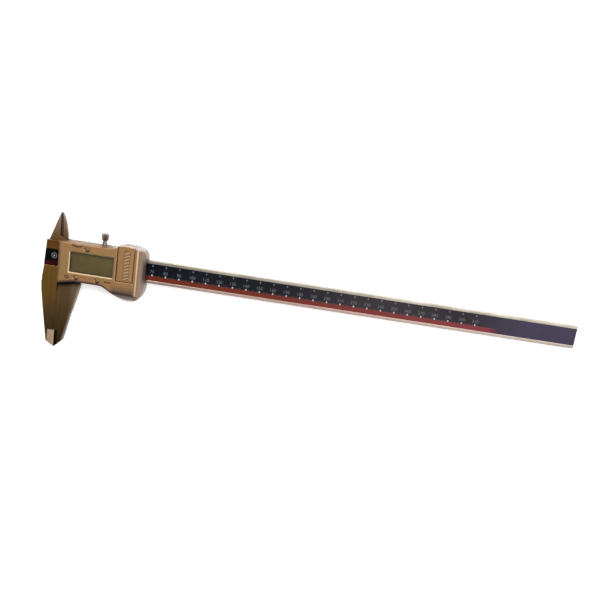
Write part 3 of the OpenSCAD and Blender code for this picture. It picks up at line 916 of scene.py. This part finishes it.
def make_button(button, material):
    """Push button: stem, flange and a cap with a rounded, slightly hollow top."""
    low, high = box_mm(button)
    cap, flange, top = 1.6, (high[0] - low[0]) / 2, high[2]
    rings = [[0.55, low[2]], [0.8, low[2] + 0.25], [0.8, SKIN_Z - 0.65], [flange - 0.1, SKIN_Z - 0.65],
             [flange, SKIN_Z - 0.55], [flange, SKIN_Z - 0.15], [flange - 0.1, SKIN_Z - 0.05],
             [cap, SKIN_Z - 0.05], [cap, top - 0.5], [cap - 0.15, top - 0.2], [cap - 0.5, top],
             [cap - 0.8, top - 0.08], [0.3, top - 0.25]]
    solid = pin(*middle_of(button)[:2], rings, 48)
    piece = add_solid(button + "_cap", solid, button, material, 35.0)
    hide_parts(button)


def make_lock_screw(material):
    """Lock screw: threaded core, neck and a knurled head that tapers to the neck."""
    low, high = box_mm("lock_screw")
    head, neck, core = (high[0] - low[0]) / 2, 1.6, 1.25
    tip, end = low[1], high[1]
    head_low = end - 5.1
    pitch, sides, teeth, tooth = 0.45, 144, 36, 0.13

    def plain(radius):
        return ellipse((0, 0), (radius, radius), sides)

    def knurled(radius):
        outline = []
        for angle in np.linspace(0, 2 * math.pi, sides, endpoint=False):
            reach = radius - tooth + tooth * math.cos(teeth * angle)
            outline.append((reach * math.cos(angle), reach * math.sin(angle)))
        return outline

    shank = [[0.85, tip], [core, tip + 0.3]]
    while shank[-1][1] + pitch < head_low - 4.6:
        y = shank[-1][1]
        shank += [[core - 0.2, y + pitch / 2], [core, y + pitch]]
    shank += [[neck, head_low - 4.5], [neck, head_low - 1.4], [neck - 0.3, head_low - 1.2],
              [neck - 0.3, head_low - 0.9], [neck, head_low - 0.7]]
    grip = [[neck + 0.1, head_low - 0.2], [0.86 * head, head_low + 0.4], [head, end - 1.2], [head, end - 0.3]]
    face = [[head - 0.3, end - 0.06], [head - 0.5, end], [1.0, end - 0.06]]
    levels = [[outline(r), y] for rings, outline in ((shank, plain), (grip, knurled), (face, plain))
              for r, y in rings]
    piece = add_solid("lock_screw_knurled", along_y(LOCK_X, LOCK_Z, loft(levels)), "lock_screw",
                      material)
    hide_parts("lock_screw")


def make_screws(node, body, material, radius):
    """Countersunk screws that point up, each with a cross recess in its head."""
    shape = node_shape(node)
    undersides = [f.calc_center_median() for f in shape.faces if f.normal.z < -0.9]
    long, wide, deep = 1.15 * radius, 0.22 * radius, 0.7 * radius
    recesses = [loft([[bar(at.x, at.y, half_x, half_y), -0.5],
                      [bar(at.x, at.y, 0.6 * half_x, 0.6 * half_y), deep]])
                for at in undersides if at.z < 0.01 for half_x, half_y in ((long, wide), (wide, long))]
    made = carved(finished(shape, node + "_crossed"), recesses)
    piece = add_piece(node + "_crossed", made, body, [material])
    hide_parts(node)


# -------- scale and display prints

def number_mesh(text, x, y, height):
    """A number as thin solid figures, centred at x and y."""
    curve = bpy.data.curves.new("figures", "FONT")
    curve.body = text
    curve.size = height / 0.7
    curve.align_x, curve.align_y = "CENTER", "CENTER"
    curve.extrude = INK_UP / 2
    helper = placed("figures", curve)
    bpy.context.view_layer.update()
    mesh = bpy.data.meshes.new_from_object(helper.evaluated_get(bpy.context.evaluated_depsgraph_get()))
    bpy.data.objects.remove(helper)
    mesh.transform(Matrix.Translation((x, y, FILM_TOP + INK_UP / 2 - 0.005)))
    return mesh


def make_scale(bright, grey, dim, label_ink):
    """The film's graduations, numbers and the plain sign on its label."""
    marks = range(MARK_STEP, LAST_MARK + 1, MARK_STEP)
    ticks = [rectangle((x - 0.4, STRIPE_TOP - 0.1), (x + 0.4, STRIPE_TOP + 1.1)) for x in marks]
    far = [rectangle((x - 0.35, FILM_HIGH[1] - 1.9), (x + 0.35, FILM_HIGH[1] - 0.8)) for x in marks]
    halves = [rectangle((x - 4.88, STRIPE_TOP + 0.1), (x - 4.72, STRIPE_TOP + 0.9)) for x in marks]
    fine = [rectangle((x - 0.05, STRIPE_TOP + 0.1), (x + 0.05, STRIPE_TOP + 0.55))
            for x in range(1, LAST_MARK) if x % 5]
    shape = bmesh.new()
    for x in marks:
        number = number_mesh(str(x), x - 0.2, 0.4, 2.3)
        shape.from_mesh(number)
        bpy.data.meshes.remove(number)
    centre = (-3.4, 1.6)
    sign = [ribbon(around(centre, (1.9, 1.9), np.linspace(start, start + 1.45, 12)), 0.42)
            for start in (0.06, 1.63, 3.2, 4.77)]
    sign.append(ellipse(centre, (0.75, 0.75), 20))
    for name, outlines, ink in (("scale_ticks", ticks, bright), ("scale_far_ticks", far, grey),
                                ("scale_fine_ticks", halves + fine, grey)):
        flat_prints(name, outlines, FILM_TOP, "beam", ink)
    add_piece("scale_numbers", finished(shape, "scale_numbers"), "beam", [dim], 20.0)
    flat_prints("label_sign", sign, FILM_TOP, "beam", label_ink)


def make_display(panel, line, window):
    """The display glass, a fine frame printed on it and the window over it."""
    softened("lcd_panel", "slider", [panel], 0.15)
    inset, width = 1.0, 0.16
    a, b = WINDOW[0] + inset, WINDOW[1] - inset
    lines = [rectangle(a, (b[0], a[1] + width)), rectangle((a[0], b[1] - width), b),
             rectangle(a, (a[0] + width, b[1])), rectangle((b[0] - width, a[1]), b)]
    flat_prints("lcd_frame_lines", lines, PANEL_HIGH[2], "slider", line, 0.02)
    softened("lcd_window", "slider", [window], 0.12)


# -------- stage

CAMERA_AIM = (0.18053, -0.00351, 0.0055)
CAMERA_DISTANCE = 0.5149
CAMERA_TURNS = (("X", -12.87), ("Y", 0.62), ("Z", 8.76))
CAMERA_LENS, CAMERA_SENSOR = 42.0, 36.0


def make_floor():
    """Glowing paper, as a disc in metres that is far wider than any view."""
    shade = Shader("floor_paper")
    cloud = shade.noise(3.0, 3.0)
    disc = ellipse((180, 0), (3000, 3000), 96)
    mesh = mesh_from("floor", *loft([[disc, -20], [disc, 0]]))
    paper = shade.mix(shade.spread(cloud, 0.3, 0.7), (0.86, 0.86, 0.86), (0.9, 0.9, 0.9))
    mesh.materials.append(shade.finish(
        Base_Color=paper, Roughness=shade.spread(cloud, 0.3, 0.7, 0.75, 0.85),
        Emission_Color=(1, 1, 1), Emission_Strength=0.32))
    floor = placed("floor", mesh)


def make_world():
    """A pale studio that is brighter towards +X, with a dark patch above the horizon in -Y."""
    world = bpy.data.worlds.new("studio")
    bpy.context.scene.world = world
    world.use_nodes = True
    sky = Nodes(world.node_tree)
    place = sky.node("TexCoord").outputs["Generated"]
    side = sky.spread(sky.part(place, "X"), -0.5, 0.6, 0.62, 1.0)
    near = sky.spread(sky.part(place, "Y"), -0.75, -0.45, 0.18, 1.0, "SMOOTHSTEP")
    horizon = sky.spread(sky.part(place, "Z"), 0.16, 0.3, 1.0, 0.0)
    background = world.node_tree.nodes["Background"].inputs
    sky.feed(background["Strength"], sky.both(side, sky.math("MAXIMUM", near, horizon)))
    sky.feed(background["Color"], (1.0, 0.98, 0.95))


def make_light(name, place, aim, size, power, colour=(1, 1, 1)):
    data = bpy.data.lights.new(name, "AREA")
    data.shape, data.size, data.energy, data.color = "SQUARE", size, power, colour
    light = placed(name, data)
    light.location = place
    light.rotation_euler = (Vector(aim) - Vector(place)).to_track_quat("-Z", "Y").to_euler()


def make_camera():
    data = bpy.data.cameras.new("camera")
    data.lens, data.sensor_width = CAMERA_LENS, CAMERA_SENSOR
    data.clip_start, data.clip_end = 0.01, 50
    camera = placed("camera", data)
    tilt, lean, roll = (Matrix.Rotation(math.radians(angle), 3, axis) for axis, angle in CAMERA_TURNS)
    turn = tilt @ lean @ roll
    place = Vector(CAMERA_AIM) + turn @ Vector((0, 0, CAMERA_DISTANCE))
    camera.matrix_world = Matrix.Translation(place) @ turn.to_4x4()
    bpy.context.scene.camera = camera


# -------- the whole

def make_all():
    # the tones up the jaws and the beam are painted reflection
    jaw = jaw_finish("jaw_steel", (
        (-62, (0.055, 0.036, 0.016)), (-45, (0.112, 0.067, 0.026)), (-25, (0.15, 0.096, 0.045)),
        (12, (0.15, 0.085, 0.035)), (18, (0.23, 0.14, 0.066)), (29, (0.34, 0.22, 0.17)),
        (32, (0.3, 0.3, 0.28))))
    beam = jaw_finish("beam_ground_steel", (
        (-58, (0.07, 0.045, 0.022)), (-46, (0.1, 0.06, 0.026)), (-30, (0.17, 0.095, 0.026)),
        (-8, (0.21, 0.118, 0.022)), (8, (0.18, 0.083, 0.02)), (13, (0.15, 0.068, 0.018)),
        (18, (0.22, 0.135, 0.062)), (29, (0.36, 0.23, 0.18)), (32, (0.3, 0.3, 0.28))),
        ((0.42, 0.38, 0.32), (0.62, 0.57, 0.5), (0.6, 0.44, 0.4)))
    # a lighter copy of the steel: painted highlight on the beam's knife bevel
    bevel = brushed_metal("knife_bevel_highlight", (0.42, 0.29, 0.18), (0.56, 0.4, 0.27), "Y", 0.3)
    # dark: painted shade in the blades' hollows and on the lip under the moving blade
    hollow = plain_finish("hollow_shade", (0.035, 0.014, 0.003), 0.6)
    plate = brushed_metal("plate_steel_brushed", (0.42, 0.41, 0.39), (0.6, 0.58, 0.55), "X", 0.32)
    cover = cover_finish("cover_champagne", (0.33, 0.182, 0.076))
    screw = turned_metal("screw_steel_turned", (0.5, 0.47, 0.44), 0.3)
    bronze = brushed_metal("bronze_spring", (0.5, 0.3, 0.1), (0.75, 0.48, 0.2), "X", 0.28)

    softened("beam", "beam", [beam, bevel, hollow], 0.25, pick=beam_face,
             cutters=[blade_hollow()], broad=[(jaw_left_edge, 0.8)])
    keep_node("scale_circuit", circuit_finish("circuit_green"))
    keep_node("scale_film", film_finish("film_printed"))
    make_scale(ink_finish("ink_bright", (0.42, 0.43, 0.43)), ink_finish("ink_grey", (0.14, 0.15, 0.17)),
               ink_finish("ink_dim", (0.075, 0.085, 0.1)), ink_finish("ink_label", (0.16, 0.16, 0.18)))
    softened("end_stop", "beam", [plate], 0.15)
    make_blade_lip(hollow)
    softened("slider_frame", "slider", [jaw, hollow], 0.22, pick=slider_face,
             broad=[(jaw_right_edge, 1.7)])
    keep_node("gib_strip", bronze)
    keep_node("gib_screws", screw)
    softened("back_plate", "slider", [plate], 0.2)
    softened("depth_rod", "slider", [plate], 0.15)
    make_screws("end_stop_screws", "beam", screw, 1.0)
    make_screws("back_plate_screws", "slider", screw, 0.8)
    make_screws("depth_rod_screws", "slider", screw, 0.6)
    make_screws("cover_screws", "slider", screw, 1.0)
    make_cover(cover, ink_finish("mark_paint", (0.055, 0.024, 0.008)))
    make_door(cover)
    for button in BUTTONS:
        make_button(button, button_finish(button))
    make_lock_screw(turned_metal("lock_steel_turned", (0.36, 0.31, 0.3), 0.34, "Y"))
    make_display(display_finish("lcd_olive"), ink_finish("lcd_line", (0.03, 0.025, 0.012)),
                 clear_finish("window_clear_smeared"))
    make_cell(turned_metal("cell_nickel", (0.62, 0.6, 0.57), 0.22))
    softened("circuit_board", "slider", [circuit_finish("board_green")], 0.05)
    keep_node("board_screws", screw)
    keep_node("driver_chip", plain_finish("chip_black", (0.02, 0.02, 0.022), 0.45))
    keep_node("switch_domes", turned_metal("dome_steel", (0.6, 0.58, 0.54), 0.22))
    softened("lcd_holder", "slider",
             [plain_finish("holder_white", (0.68, 0.68, 0.66), 0.5)], 0.12)
    softened("lcd_contact_strips", "slider",
             [plain_finish("strip_pink", (0.62, 0.2, 0.24), 0.7)], 0.2)
    softened("battery_spring", "slider", [bronze], 0.04)
    softened("battery_clip", "slider", [bronze], 0.05)


make_camera()
make_world()
make_floor()
make_light("key", (-0.16, 0.42, 0.5), (0.06, -0.01, 0.0), 0.3, 4.0, (1.0, 0.97, 0.92))
make_light("fill", (0.45, 0.25, 0.55), (0.25, 0.0, 0.0), 0.45, 3.0)
make_all()
bpy.context.scene.view_settings.view_transform = "Standard"
